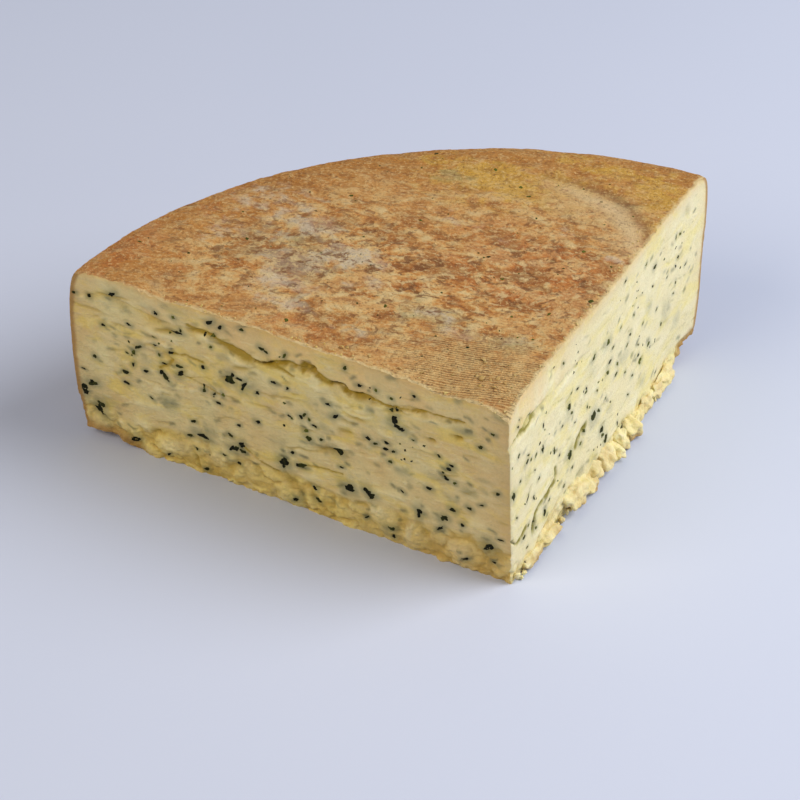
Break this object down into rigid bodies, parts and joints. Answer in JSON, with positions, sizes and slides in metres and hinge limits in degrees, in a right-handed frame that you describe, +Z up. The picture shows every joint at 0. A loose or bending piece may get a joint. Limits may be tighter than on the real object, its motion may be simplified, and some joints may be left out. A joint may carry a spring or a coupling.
{
  "type": "wild garlic raclette cheese",
  "caption": "quarter wheel of semi-hard cheese with dark leaf flecks in a pale cut paste, a mottled orange-brown rind and a torn, crumbly lower edge",
  "frame": {"origin": "centre of the underside of the bounding box, on the surface the cheese stands on", "axes": "+Z up; the larger cut face that the picture shows on the left faces -Y; the other cut face faces +X; the cut corner is at +X, -Y"},
  "size_m": [0.1576, 0.1532, 0.0656],
  "materials": {
    "cheese": "satin paste, matt rind"
  },
  "bodies": {
    "root": {"cheese": "cheese"}
  },
  "joints": []
}
